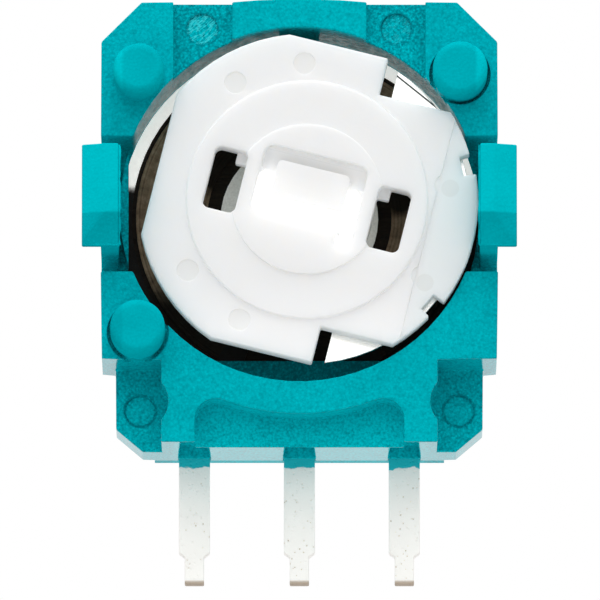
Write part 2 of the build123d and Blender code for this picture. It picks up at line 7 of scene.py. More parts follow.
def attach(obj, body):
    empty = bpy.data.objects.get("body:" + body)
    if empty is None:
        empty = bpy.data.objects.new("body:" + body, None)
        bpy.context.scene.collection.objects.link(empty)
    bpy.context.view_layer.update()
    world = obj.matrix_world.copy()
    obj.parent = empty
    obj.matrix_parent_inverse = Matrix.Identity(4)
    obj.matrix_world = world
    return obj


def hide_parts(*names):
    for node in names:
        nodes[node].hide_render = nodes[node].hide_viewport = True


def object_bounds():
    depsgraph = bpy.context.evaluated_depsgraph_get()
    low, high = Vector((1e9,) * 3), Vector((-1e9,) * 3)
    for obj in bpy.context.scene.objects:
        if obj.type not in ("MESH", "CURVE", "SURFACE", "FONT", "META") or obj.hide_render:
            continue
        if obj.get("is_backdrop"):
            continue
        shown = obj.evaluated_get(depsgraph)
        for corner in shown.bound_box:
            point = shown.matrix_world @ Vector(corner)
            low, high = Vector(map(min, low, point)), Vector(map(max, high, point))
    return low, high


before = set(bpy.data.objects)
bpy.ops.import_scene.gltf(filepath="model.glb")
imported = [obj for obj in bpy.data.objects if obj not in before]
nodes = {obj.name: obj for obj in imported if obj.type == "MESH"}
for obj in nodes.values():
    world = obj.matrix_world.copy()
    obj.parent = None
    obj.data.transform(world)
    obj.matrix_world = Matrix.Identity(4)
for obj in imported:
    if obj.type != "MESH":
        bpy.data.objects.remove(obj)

frame_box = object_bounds()
MM = 0.001


# Table, backdrop, light and camera
# The sensor hangs in a white room over a pale table. Large soft lamps light it from above and from the
# front, and a long lens looks up at it by ten degrees, as in the photograph.

VIEW_WIDTH = 14.25 * MM      # what the picture spans, from the pin pitch of 2.5 mm
VIEW_CENTRE = Vector((0.015, -2.6, 3.415)) * MM
VIEW_RISE = math.radians(10)
VIEW_DISTANCE = 500 * MM
SENSOR = 36.0
FLOOR_DROP = 180 * MM
FLOOR_RADIUS = 600 * MM
CLIP_NEAR = 10 * MM
CLIP_FAR = 5.0
ROOM_LIGHT = 0.44
TABLE_PALE = (0.9, 0.9, 0.9, 1)


def aim(obj, place, target):
    """Puts a lamp or the camera at a place and turns it to look at a target."""
    obj.location = place
    obj.rotation_mode = "QUATERNION"
    obj.rotation_quaternion = (Vector(target) - Vector(place)).to_track_quat("-Z", "Y")
    bpy.context.scene.collection.objects.link(obj)


def soft_lamp(name, place, size, power):
    """Square soft box that looks at the sensor."""
    lamp = bpy.data.lights.new(name, "AREA")
    lamp.size = size * MM
    lamp.energy = power
    aim(bpy.data.objects.new(name, lamp), Vector(place) * MM, VIEW_CENTRE)


camera = bpy.data.cameras.new("camera")
camera.sensor_width = SENSOR
camera.lens = SENSOR * VIEW_DISTANCE / VIEW_WIDTH
camera.clip_start = CLIP_NEAR
camera.clip_end = CLIP_FAR
camera_object = bpy.data.objects.new("camera", camera)
camera_back = Vector((0, -math.cos(VIEW_RISE), -math.sin(VIEW_RISE)))
aim(camera_object, VIEW_CENTRE + camera_back * VIEW_DISTANCE, VIEW_CENTRE)
bpy.context.scene.camera = camera_object
bpy.context.scene.view_settings.view_transform = "Standard"

soft_lamp("lamp_key", (-50, -170, 180), 340, 0.36)
soft_lamp("lamp_top", (30, -90, 240), 300, 0.36)
soft_lamp("lamp_back", (60, 200, 120), 140, 0.30)

world = bpy.data.worlds.new("room")
bpy.context.scene.world = world
world.use_nodes = True
room = world.node_tree
room_light = room.nodes["Background"]
room_light.inputs["Color"].default_value = (1, 1, 1, 1)
room_light.inputs["Strength"].default_value = ROOM_LIGHT
room_white = room.nodes.new("ShaderNodeBackground")
room_white.inputs["Color"].default_value = (1, 1, 1, 1)
room_white.inputs["Strength"].default_value = 1.0
path = room.nodes.new("ShaderNodeLightPath")
seen = path.outputs["Is Camera Ray"]
for kind in ("Is Glossy Ray", "Is Transmission Ray"):
    either = room.nodes.new("ShaderNodeMath")
    either.operation = "MAXIMUM"
    room.links.new(seen, either.inputs[0])
    room.links.new(path.outputs[kind], either.inputs[1])
    seen = either.outputs[0]
choice = room.nodes.new("ShaderNodeMixShader")
room.links.new(seen, choice.inputs[0])
room.links.new(room_light.outputs[0], choice.inputs[1])
room.links.new(room_white.outputs[0], choice.inputs[2])
room.links.new(choice.outputs[0], room.nodes["World Output"].inputs["Surface"])

table_mesh = bmesh.new()
bmesh.ops.create_circle(table_mesh, cap_ends=True, segments=96, radius=FLOOR_RADIUS)
table_data = bpy.data.meshes.new("table")
table_mesh.to_mesh(table_data)
table_mesh.free()
table = bpy.data.objects.new("table", table_data)
table.location = (0, 0, -FLOOR_DROP)
bpy.context.scene.collection.objects.link(table)
table_finish = bpy.data.materials.new("table_white")
table_finish.use_nodes = True
table_shader = table_finish.node_tree.nodes["Principled BSDF"]
table_shader.inputs["Base Color"].default_value = TABLE_PALE
table_shader.inputs["Roughness"].default_value = 0.8
table_data.materials.append(table_finish)
table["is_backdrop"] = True


# Housing
# One teal polyester moulding, shot round the board and the pins. The mould's spark-eroded face gives it a
# fine grain, coarser in its recessed fields, and every edge comes out of the steel slightly rounded.

HOUSING_EDGE = 0.035
STUD_TIP = 0.065
SAME_POINT = 0.0001           # points closer than this are one point
SHARP = math.radians(30)
CREASE = math.radians(12)     # a slight turn is an edge too, where both its faces look to the front
LOOKS_FRONT = -0.9
RUNS_ON = -0.75               # cosine of the turn below which one edge runs on into the next
IN_PLANE = math.radians(0.3)  # facets that turn by less lie in one face
WALL_SHARE = 0.40             # an edge's rounding takes no more than this share of the wall beside it
TOO_SHORT = 0.015             # facets shorter than this are drawn together before the rounding
CORNER_LEAN = 0.7             # least cosine between a corner's normal and its own facet's
AXIS_Z = 5.74
FRONT = -2.6
BORE = 4.28
STUD_REACH = 0.8              # a stud's tip is more than this in front of the pads
HOOK_HALF = 2.0               # the hooks reach no further than this above and below the axis
TEAL = (0.000, 0.455, 0.525)
TEAL_DARK = (0.000, 0.240, 0.290)
TEAL_BRIGHT = (0.000, 0.660, 0.740)
TEAL_RUBBED = (0.100, 0.780, 0.820)
TOP_MARK = (2.31, 4.28)       # middles of the round marks, from the bore's axis
FOOT_MARK = (3.79, -4.75)
MARK_RADIUS = 0.37
MARK_GROOVE = (-0.03, 0.04)   # the groove round a mark, from its radius

# Where changes of the finish start and end, in depth
PROUD = (FRONT - 0.12, FRONT - 0.04)
NOSES = (FRONT - 0.8, FRONT - 0.5)
PADS = (FRONT - 0.08, FRONT)
SUNK = (FRONT + 0.05, FRONT + 0.25)
MARKED = (FRONT + 1.60, FRONT + 1.70)
REAR_RISE = (0.06, 0.10)

# Where they start and end across, to either side
LEGS = (2.9, 3.1)
HOOKS = (4.15, 4.25)

# And in height
UNDERSIDES = (2.3, 2.5)
FOOT = (2.6, 2.9)
HOOK_CREASE = (5.28, 5.34)
LOWER_BORE = (AXIS_Z - 1.6, AXIS_Z - 0.8)
UPPER_BORE = (AXIS_Z + 1.6, AXIS_Z + 1.9)
TOP_FIELDS = (8.5, 8.8)


class Wire:
    """A socket of a material's node tree. Arithmetic on it adds the Math nodes."""

    def __init__(self, finish, socket):
        self.finish = finish
        self.socket = socket

    def math(self, operation, *values):
        return self.finish.node("ShaderNodeMath", {"operation": operation}, dict(enumerate(values)))

    def __add__(self, other):
        return self.math("ADD", self, other)

    def __sub__(self, other):
        return self.math("SUBTRACT", self, other)

    def __mul__(self, other):
        return self.math("MULTIPLY", self, other)

    def __pow__(self, other):
        return self.math("POWER", self, other)

    def __radd__(self, other):
        return self.math("ADD", other, self)

    def __rsub__(self, other):
        return self.math("SUBTRACT", other, self)

    def __rmul__(self, other):
        return self.math("MULTIPLY", other, self)

    def __abs__(self):
        return self.math("ABSOLUTE", self)

    def step(self, low, high):
        """0 below low, 1 above high, and a smooth rise between them."""
        sockets = {"Value": self, "From Min": low, "From Max": high, "To Min": 0.0, "To Max": 1.0}
        settings = {"interpolation_type": "SMOOTHSTEP", "clamp": True}
        return self.finish.node("ShaderNodeMapRange", settings, sockets)


class Finish:
    """A material of one piece. node() adds any node, and shows() connects the finished surface."""

    def __init__(self, name):
        self.material = bpy.data.materials.new(name)
        self.material.use_nodes = True
        self.tree = self.material.node_tree
        self.shader = self.tree.nodes["Principled BSDF"]
        place = self.node("ShaderNodeTexCoord", {}, {}, "Object")
        self.place = self.node("ShaderNodeVectorMath", {"operation": "SCALE"}, {0: place, "Scale": 1 / MM})
        self.x, self.y, self.z = self.parts(self.place)

    def node(self, kind, settings, sockets, output=0):
        """Adds a node, with its settings first, then the values or links of its sockets."""
        made = self.tree.nodes.new(kind)
        for name, value in settings.items():
            setattr(made, name, value)
        for name, value in sockets.items():
            if isinstance(value, Wire):
                self.tree.links.new(value.socket, made.inputs[name])
            else:
                made.inputs[name].default_value = value
        return Wire(self, made.outputs[output])

    def parts(self, vector):
        """The three numbers of a vector."""
        made = self.node("ShaderNodeSeparateXYZ", {}, {0: vector})
        return [Wire(self, made.socket.node.outputs[axis]) for axis in "XYZ"]

    def vector(self, x, y, z):
        return self.node("ShaderNodeCombineXYZ", {}, {"X": x, "Y": y, "Z": z})

    def noise(self, per_mm, detail=3.0, roughness=0.55, distortion=0.0, at=None):
        """Cloudy noise from 0 to 1, with so many features to the millimetre."""
        sockets = {"Vector": at or self.place, "Scale": per_mm, "Detail": detail, "Roughness": roughness}
        sockets["Distortion"] = distortion
        return self.node("ShaderNodeTexNoise", {}, sockets, "Fac")

    def cells(self, per_mm, feature="F1", at=None):
        """Distance to the nearest of scattered points, so many to the millimetre."""
        sockets = {"Vector": at or self.place, "Scale": per_mm}
        return self.node("ShaderNodeTexVoronoi", {"feature": feature}, sockets, "Distance")

    def mix(self, share, low, high):
        """Colour between two colours, each a triple or a link."""
        colours = [c if isinstance(c, Wire) else (*c, 1.0) for c in (low, high)]
        sockets = {0: share, 6: colours[0], 7: colours[1]}
        return self.node("ShaderNodeMix", {"data_type": "RGBA"}, sockets, 2)

    def ramp(self, share, *stops):
        """Colour read from a ramp of (place, colour) stops."""
        made = self.node("ShaderNodeValToRGB", {}, {0: share})
        elements = made.socket.node.color_ramp.elements
        for index, (place, colour) in enumerate(stops):
            element = elements[index] if index < 2 else elements.new(place)
            element.position = place
            element.color = (*colour, 1.0)
        return made

    def bump(self, height, depth_mm, strength=1.0, under=None):
        """Relief of a height from 0 to 1 that is worth a depth in millimetres."""
        sockets = {"Height": height, "Distance": depth_mm * MM, "Strength": strength}
        if under:
            sockets["Normal"] = under
        return self.node("ShaderNodeBump", {}, sockets)

    def disc(self, across, up, radius, blur=0.02):
        """1 inside a circle of the front view, measured from the bore's axis, and 0 outside it."""
        away = ((self.x - across) ** 2.0 + (self.z - AXIS_Z - up) ** 2.0) ** 0.5
        return 1.0 - away.step(radius - blur, radius + blur)

    def shows(self, **sockets):
        """Sets the surface's sockets, by their names with an underscore for each space."""
        for name, value in sockets.items():
            socket = self.shader.inputs[name.replace("_", " ")]
            if isinstance(value, Wire):
                self.tree.links.new(value.socket, socket)
            else:
                socket.default_value = value
        return self.material


def in_line(edges, vertex):
    """Pairs of the edges at a vertex that run on into each other."""
    for index, first in enumerate(edges):
        for second in edges[index + 1:]:
            one, other = (edge.other_vert(vertex).co - vertex.co for edge in (first, second))
            if one.normalized().dot(other.normalized()) < RUNS_ON:
                yield first, second


def wall_beside(edge):
    """Least width of the two facets that meet at an edge."""
    return min(2 * face.calc_area() for face in edge.link_faces) / edge.calc_length()


def is_real(edge):
    """Whether an edge of the mesh is one of the piece, and not a join between two facets of a curve."""
    turn = edge.calc_face_angle(0)
    return turn > SHARP or (turn > CREASE and all(face.normal.y < LOOKS_FRONT for face in edge.link_faces))


def edge_runs(shape):
    """Sets of real edges that run on into each other, as round a rim."""
    run_of = {edge: {edge} for edge in shape.edges if is_real(edge)}
    for vertex in shape.verts:
        here = [edge for edge in vertex.link_edges if edge in run_of]
        for first, second in in_line(here, vertex):
            if run_of[first] is not run_of[second]:
                joined = run_of[first] | run_of[second]
                run_of.update((edge, joined) for edge in joined)
    return {id(run): run for run in run_of.values()}.values()


def on_stud_tip(run):
    """Whether a run of edges goes round a stud's tip, in front of the pads and clear of the hooks."""
    ends = [vertex.co for edge in run for vertex in edge.verts]
    return all(end.y < FRONT - STUD_REACH and abs(end.z - AXIS_Z) > HOOK_HALF for end in ends)


def steady_corners(mesh):
    """Gives a corner whose normal leans far from its facet, as beside a sliver, the facet's own."""
    normals = []
    for face in mesh.polygons:
        for corner in face.loop_indices:
            normal = mesh.corner_normals[corner].vector
            normals.append(normal if normal.dot(face.normal) > CORNER_LEAN else face.normal)
    mesh.normals_split_custom_set([tuple(normal) for normal in normals])


def softened(name, node, rounding, segments=2, tip=0.0):
    """Copy of a node with its facets joined up and its edges rounded by up to so many millimetres."""
    shape = bmesh.new()
    shape.from_mesh(nodes[node].data)
    bmesh.ops.scale(shape, vec=Vector((1, 1, 1)) / MM, verts=shape.verts)
    bmesh.ops.remove_doubles(shape, verts=shape.verts, dist=SAME_POINT)
    bmesh.ops.dissolve_degenerate(shape, edges=shape.edges, dist=TOO_SHORT)
    weight = shape.edges.layers.float.new("bevel_weight_edge")
    widest = max(rounding, tip)
    for run in edge_runs(shape):
        room_beside = min(rounding, WALL_SHARE * min(map(wall_beside, run)))
        if tip and on_stud_tip(run):
            room_beside = tip
        for edge in run:
            edge[weight] = room_beside / widest
    bmesh.ops.dissolve_limit(shape, angle_limit=IN_PLANE, verts=shape.verts, edges=shape.edges)
    mesh = bpy.data.meshes.new(name)
    shape.to_mesh(mesh)
    shape.free()
    mesh.polygons.foreach_set("use_smooth", [True] * len(mesh.polygons))
    rough = bpy.data.objects.new(name, mesh)
    bpy.context.scene.collection.objects.link(rough)
    bevel = rough.modifiers.new("edges", "BEVEL")
    bevel.limit_method = "WEIGHT"
    bevel.width = widest
    bevel.segments = segments
    bevel.use_clamp_overlap = False
    flats = rough.modifiers.new("flats", "WEIGHTED_NORMAL")
    flats.mode = "FACE_AREA"
    flats.weight = 100
    evaluated = rough.evaluated_get(bpy.context.evaluated_depsgraph_get())
    final = bpy.data.meshes.new_from_object(evaluated)
    steady_corners(final)
    rough.modifiers.clear()
    rough.data = final
    rough.data.transform(Matrix.Scale(MM, 4))
    bpy.data.meshes.remove(mesh)
    final.name = name
    return rough


def fit(piece, material, body, slot, *replaced):
    """Gives a piece its finish and its body, and hides the nodes it stands for."""
    piece.data.materials.clear()
    piece.data.materials.append(material)
    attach(piece, body)
    if replaced:
        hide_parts(*replaced)


def teal_moulding():
    """Teal plastic with the grain of the mould, coarser in the sunk fields and scratched on the marks.
    Painted shade darkens the lower bore and the hooks' lower facets, and painted light brightens the foot's
    recesses.
    """
    f = Finish("teal_moulding")
    proud = 1.0 - f.y.step(*PROUD)
    sunk = f.y.step(*SUNK)
    fine = f.noise(16, detail=2.0, roughness=0.7)
    grain = f.cells(15)
    cloud = f.noise(0.9, detail=2.0)
    coarse = f.noise(7, detail=3.0, roughness=0.65)
    speckle = (fine - 0.5) * 1.5 + (0.45 - grain) * 0.55
    strength = 0.55 - proud * 0.4 + sunk * 0.6
    tone = 0.5 + speckle * strength + (cloud - 0.5) * 0.35 + (coarse - 0.5) * sunk * 0.6

    def mark(across, up):
        return f.disc(across, up, MARK_RADIUS)

    def groove(across, up):
        inner, outer = MARK_GROOVE
        return f.disc(across, up, MARK_RADIUS + outer) - f.disc(across, up, MARK_RADIUS + inner)

    marked = 1.0 - f.y.step(*MARKED)
    top_left, top_right, foot_left, foot_right = (
        (side * across, up) for across, up in (TOP_MARK, FOOT_MARK) for side in (-1, 1))
    top_marks = (mark(*top_left) + mark(*top_right) * 0.25) * marked
    foot_marks = (mark(*foot_left) + mark(*foot_right)) * marked
    grooves = groove(*top_left) + groove(*top_right) + (groove(*foot_left) + groove(*foot_right)) * 1.8
    slanted = f.vector(f.x * 2.2 + f.z * 1.4, 0.0, f.z * 9.0 - f.x * 7.0)
    scratches = 1.0 - abs(f.noise(0.9, detail=2.0, at=slanted) - 0.5).step(0.012, 0.045)
    tone = tone + top_marks * (0.14 + scratches * 0.40) + foot_marks * 0.12 - grooves * marked * 0.25

    # Painted shade darkens the hooks' lower facets, below the crease; above it the hooks are lighter.
    hooks = abs(f.x).step(*HOOKS) * (1.0 - f.y.step(*NOSES))
    # Painted shade in the lower part of the bore; it also darkens the same area of the rear face.
    shaded = f.disc(0.0, 0.0, BORE + 0.05) * (1.0 - f.z.step(*LOWER_BORE)) * sunk
    # Painted light in the foot's recesses, stronger in the middle than out beyond the legs; it also
    # lightens the foot of the rear face.
    foot = sunk * (1.0 - f.z.step(*FOOT))
    tone = tone + hooks * (f.z.step(*HOOK_CREASE) * 0.34 - 0.10) - shaded * 0.6
    tone = tone + foot * (0.32 - abs(f.x).step(*LEGS) * 0.24) - sunk * f.z.step(*TOP_FIELDS) * 0.16

    colour = f.ramp(tone, (0.0, TEAL_DARK), (0.5, TEAL), (1.0, TEAL_BRIGHT))
    colour = f.mix(scratches * top_marks * 0.4, colour, TEAL_RUBBED)
    roughness = 0.42 + (fine - 0.5) * 0.15 - proud * 0.06
    relief = f.bump(grain + coarse * 0.8 + scratches * top_marks, 0.012, strength=0.55)

    facing = f.parts(f.node("ShaderNodeNewGeometry", {}, {}, "Normal"))[1]
    drawn = 1.0 - abs(facing).step(0.3, 0.7)
    behind = f.y.step(*PADS) * (1.0 - f.y.step(*REAR_RISE) * 0.7)
    mottled = 0.60 - f.noise(6, detail=3.0).step(0.40, 0.62) * 0.35
    wall = f.disc(0.0, 0.0, BORE + 0.05) * f.z.step(*UPPER_BORE) * mottled
    polish = drawn * behind * (1.0 - f.z.step(*UNDERSIDES) + wall)
    sockets = {"Coat_Weight": polish, "Coat_Roughness": 0.14, "Specular_IOR_Level": 0.0}
    return f.shows(Base_Color=colour, Roughness=roughness, Normal=relief, **sockets)


teal = teal_moulding()
housing = softened("housing_moulding", "housing", HOUSING_EDGE, segments=3, tip=STUD_TIP)
fit(housing, teal, "housing", "housing_plastic", "housing")


# Snap arm's inner face and the moulding's flash
# The left arm springs in a little, so its flat inner face stands across the edge of the bore. Thin ragged
# flash is left along the inner and lower edges of the hooks, where the halves of the mould meet.

ARM_FACE = -4.07
ARM_NEAR = -1.85
ARM_FAR = -0.98
ARC_POINTS = 16
FLASH_RADIUS = 0.042
FLASH_STEP = 0.05
FLASH_RAGGED = 0.05
FLASH_SEED = 3.0
FLASH_LUMPS = 3.2             # lumps of flash to the millimetre
FLASH_SWELL = (0.35, 0.65, 0.25, 1.0)  # least and most noise, and the shares of the radius they give
FLASH_SIDES = 6
HOOK_INNER = 4.268
HOOK_OUTER = 5.10
HOOK_FRONT = -3.885           # in front of the facet that slopes back to the hook's foot
HOOK_FOOT = -3.69
HOOK_FACET = 5.32
HOOK_LOW = 4.55
HOOK_HIGH = 6.92


def arm_face():
    """The slice of the left arm that stands inside the bore's circle."""
    half = math.acos(-ARM_FACE / BORE)
    turns = [math.pi - half + 2 * half * step / ARC_POINTS for step in range(ARC_POINTS + 1)]
    outline = [(BORE * math.cos(turn), AXIS_Z + BORE * math.sin(turn)) for turn in turns]
    shape = bmesh.new()
    near = [shape.verts.new((x * MM, ARM_NEAR * MM, z * MM)) for x, z in outline]
    slab = bmesh.ops.extrude_face_region(shape, geom=[shape.faces.new(near)])["geom"]
    moved = [part for part in slab if isinstance(part, bmesh.types.BMVert)]
    bmesh.ops.translate(shape, vec=(0, (ARM_FAR - ARM_NEAR) * MM, 0), verts=moved)
    bmesh.ops.recalc_face_normals(shape, faces=shape.faces)
    mesh = bpy.data.meshes.new("arm_face_left")
    shape.to_mesh(mesh)
    shape.free()
    piece = bpy.data.objects.new("arm_face_left", mesh)
    bpy.context.scene.collection.objects.link(piece)
    return piece


def flash_tree():
    """Geometry Nodes tree that grows a ragged bead along a line of edges."""
    tree = bpy.data.node_groups.new("flash", "GeometryNodeTree")
    face = tree.interface
    face.new_socket("Geometry", in_out="INPUT", socket_type="NodeSocketGeometry")
    for name in ("Radius", "Step", "Raggedness", "Seed"):
        face.new_socket(name, in_out="INPUT", socket_type="NodeSocketFloat")
    face.new_socket("Material", in_out="INPUT", socket_type="NodeSocketMaterial")
    face.new_socket("Geometry", in_out="OUTPUT", socket_type="NodeSocketGeometry")
    given = tree.nodes.new("NodeGroupInput").outputs

    def add(kind, settings, sockets):
        """Adds a node, with its settings first, then the values or links of its sockets."""
        made = tree.nodes.new(kind)
        for name, value in settings.items():
            setattr(made, name, value)
        for name, value in sockets.items():
            if isinstance(value, bpy.types.NodeSocket):
                tree.links.new(value, made.inputs[name])
            else:
                made.inputs[name].default_value = value
        return made.outputs[0]

    line = add("GeometryNodeMeshToCurve", {}, {"Mesh": given["Geometry"]})
    fine = add("GeometryNodeResampleCurve", {"mode": "LENGTH"}, {"Curve": line, "Length": given["Step"]})
    place = add("GeometryNodeInputPosition", {}, {})
    lumps = {"Vector": place, "W": given["Seed"], "Scale": FLASH_LUMPS / MM, "Detail": 3.0}
    speckle = add("ShaderNodeTexNoise", {"noise_dimensions": "4D"}, lumps)
    tint = speckle.node.outputs["Color"]
    centred = add("ShaderNodeVectorMath", {"operation": "SUBTRACT"}, {0: tint, 1: (0.5, 0.5, 0.5)})
    shift = add("ShaderNodeVectorMath", {"operation": "SCALE"}, {0: centred, "Scale": given["Raggedness"]})
    bent = add("GeometryNodeSetPosition", {}, {"Geometry": fine, "Offset": shift})
    swell = add("ShaderNodeMapRange", {}, dict(enumerate((speckle, *FLASH_SWELL))))
    thick = add("ShaderNodeMath", {"operation": "MULTIPLY"}, {0: swell, 1: given["Radius"]})
    sized = add("GeometryNodeSetCurveRadius", {}, {"Curve": bent, "Radius": thick})
    ring = add("GeometryNodeCurvePrimitiveCircle", {}, {"Resolution": FLASH_SIDES, "Radius": 1.0})
    radius = add("GeometryNodeInputRadius", {}, {})
    section = {"Curve": sized, "Profile Curve": ring, "Scale": radius, "Fill Caps": True}
    bead = add("GeometryNodeCurveToMesh", {}, section)
    smooth = add("GeometryNodeSetShadeSmooth", {}, {"Geometry": bead})
    real = add("GeometryNodeRealizeInstances", {}, {"Geometry": smooth})
    dressed = add("GeometryNodeSetMaterial", {}, {"Geometry": real, "Material": given["Material"]})
    tree.links.new(dressed, tree.nodes.new("NodeGroupOutput").inputs[0])
    return tree


def beaded(name, tree, lines, material, **sizes):
    """A mesh of beads along lines, each a list of points in millimetres."""
    shape = bmesh.new()
    for line in lines:
        corners = [shape.verts.new(Vector(point) * MM) for point in line]
        for first, second in zip(corners, corners[1:]):
            shape.edges.new((first, second))
    mesh = bpy.data.meshes.new(name)
    shape.to_mesh(mesh)
    shape.free()
    piece = bpy.data.objects.new(name, mesh)
    bpy.context.scene.collection.objects.link(piece)
    grown = piece.modifiers.new("flash", "NODES")
    grown.node_group = tree
    for socket in tree.interface.items_tree:
        if socket.in_out == "INPUT" and socket.name in sizes:
            grown[socket.identifier] = float(sizes[socket.name])
        if socket.in_out == "INPUT" and socket.name == "Material":
            grown[socket.identifier] = material
    piece.update_tag()
    final = bpy.data.meshes.new_from_object(piece.evaluated_get(bpy.context.evaluated_depsgraph_get()))
    piece.modifiers.clear()
    piece.data = final
    return piece


fit(arm_face(), teal, "housing", "housing_plastic")
flash = flash_tree()
hook_lines = []
for side in (-1, 1):
    inner, outer = side * HOOK_INNER, side * HOOK_OUTER
    top, bend = (inner, HOOK_FRONT, HOOK_HIGH), (inner, HOOK_FRONT, HOOK_FACET)
    corner, end = (inner, HOOK_FOOT, HOOK_LOW), (outer, HOOK_FOOT, HOOK_LOW)
    hook_lines += [[top, bend, corner], [corner, end]]
sizes = {"Radius": FLASH_RADIUS * MM, "Step": FLASH_STEP * MM}
sizes.update(Raggedness=FLASH_RAGGED * MM, Seed=FLASH_SEED)
fit(beaded("hook_flash", flash, hook_lines, teal, **sizes), teal, "housing", "housing_plastic")


# Resistor board and its printed layers
# Brown laminate, punched and then screen printed: a carbon horseshoe that the wiper rubs, a silver
# collector ring, and silver leads that run down to the pins.

BOARD_EDGE = 0.02
RIM_INNER = 3.95
# Painted shade: the silver is black below these heights.
RIM_SHADE = (0.65, 0.85)      # height over the axis where the black on the rim ends
LEAD_SHADE = (-2.4, -2.2)     # and on the leads
LAMINATE = ((0.006, 0.004, 0.003), (0.030, 0.020, 0.013))
CARBON = ((0.10, 0.06, 0.035), (0.35, 0.225, 0.14), (0.66, 0.46, 0.31))
# Painted shade: black on the carbon in two discs in the windows, and below a height, where the rotor shades
# the track.
CARBON_SHADE = ((-1.95, 1.25, 0.65, 0.20), (2.40, 0.50, 0.42, 0.15))  # across, up, radius and blur
CARBON_SHADE_BELOW = (AXIS_Z - 2.2, AXIS_Z - 1.2)
SILVER = ((0.72, 0.71, 0.67), (0.95, 0.94, 0.90))
# Painted glow of the silver: faint on the ring and leads, strong on the rim.
SILVER_LIT = ((0.10, 0.10, 0.09), (0.56, 0.545, 0.52))
SHADE_BLACK = (0.012, 0.010, 0.009)
BLACK = (0.0, 0.0, 0.0)


def laminate():
    """Brown phenolic paper, with the fibres of the sheet showing faintly."""
    f = Finish("laminate_brown")
    stretched = f.vector(f.x, f.y, f.z * 6.0)
    fibre = f.noise(3.0, detail=4.0, at=stretched)
    fleck = f.noise(22, detail=1.0)
    colour = f.ramp(fibre * 0.7 + fleck * 0.3, (0.3, LAMINATE[0]), (0.7, LAMINATE[1]))
    relief = f.bump(fibre, 0.01, 0.5)
    return f.shows(Base_Color=colour, Roughness=0.5 + fleck * 0.2, Normal=relief, Specular_IOR_Level=0.12)


def carbon_ink():
    """Dark carbon ink, rubbed in rings by the wiper, and painted black where the rotor shades it."""
    f = Finish("carbon_ink")
    radius = (f.x ** 2.0 + (f.z - AXIS_Z) ** 2.0) ** 0.5
    rubbed = f.noise(24, detail=2.0, at=f.vector(radius, 0.0, 0.0))
    patch = f.noise(5, detail=4.0, roughness=0.7)
    colour = f.ramp(rubbed * 0.45 + patch * 0.55, *zip((0.3, 0.5, 0.75), CARBON))
    # Painted shade: black below a height and in two discs, where the rotor shades the track.
    dark = 1.0 - f.z.step(*CARBON_SHADE_BELOW)
    for across, up, size, blur in CARBON_SHADE:
        dark = dark + f.disc(across, up, size, blur)
    colour = f.mix(dark * 0.95, colour, BLACK)
    relief = f.bump(patch + rubbed, 0.008, 0.6)
    return f.shows(Base_Color=colour, Roughness=0.45 + patch * 0.25, Normal=relief, Specular_IOR_Level=0.12)


def silver_ink():
    """Screen-printed silver, with painted shade that makes the rim black below the axis and the leads black
    low down, and a painted glow elsewhere, strongest on the rim.
    """
    f = Finish("silver_ink")
    fleck = f.noise(20, detail=3.0, roughness=0.7)
    patch = f.noise(2.5, detail=3.0)
    bright = f.mix((fleck * 0.6 + patch * 0.5).step(0.3, 0.75), *SILVER)
    ragged = f.z - AXIS_Z + (patch - 0.5) * 0.3
    rim = 1.0 - f.disc(0.0, 0.0, RIM_INNER)
    # Painted shade: black on the rim below the axis and on the leads low down.
    painted_black = rim * (1.0 - ragged.step(*RIM_SHADE)) + (1.0 - rim) * (1.0 - ragged.step(*LEAD_SHADE))
    colour = f.mix(painted_black, bright, SHADE_BLACK)
    # Painted glow where there is no painted shade, stronger on the rim than on the ring and leads.
    glow = f.mix(painted_black, f.mix(rim, *SILVER_LIT), BLACK)
    relief = f.bump(fleck, 0.008, 0.5)
    shine = {"Metallic": 0.35 - painted_black * 0.35, "Specular_IOR_Level": 0.12}
    shine.update(Emission_Color=glow, Emission_Strength=1.0)
    return f.shows(Base_Color=colour, Roughness=0.36 + fleck * 0.2, Normal=relief, **shine)


def coat(node, material):
    """Gives a node that is shown as it is its finish."""
    nodes[node].data.materials.clear()
    nodes[node].data.materials.append(material)


board = softened("board_laminate", "resistor_board", BOARD_EDGE)
fit(board, laminate(), "housing", "laminate", "resistor_board")
coat("carbon_track", carbon_ink())
silver = silver_ink()
for node in ("collector_ring", "end_lead_left", "end_lead_right"):
    coat(node, silver)


# Pins
# Flat brass strip with a matt tin plating, sheared at the tips, so that bare metal shows there. Each is
# drawn to an eyelet that stakes it through the board, and then moulded in.

PIN_EDGE = 0.03
SHEARED = (-2.99, -2.90)      # the bare end of a pin, in height
FILM_END = (-0.10, -0.05)
TIN = ((0.98, 0.97, 0.94), (0.88, 0.86, 0.82), (0.45, 0.41, 0.36))
BRASS = (0.45, 0.33, 0.22)
# Painted glow of the tin.
TIN_LIT = (0.16, 0.155, 0.145)


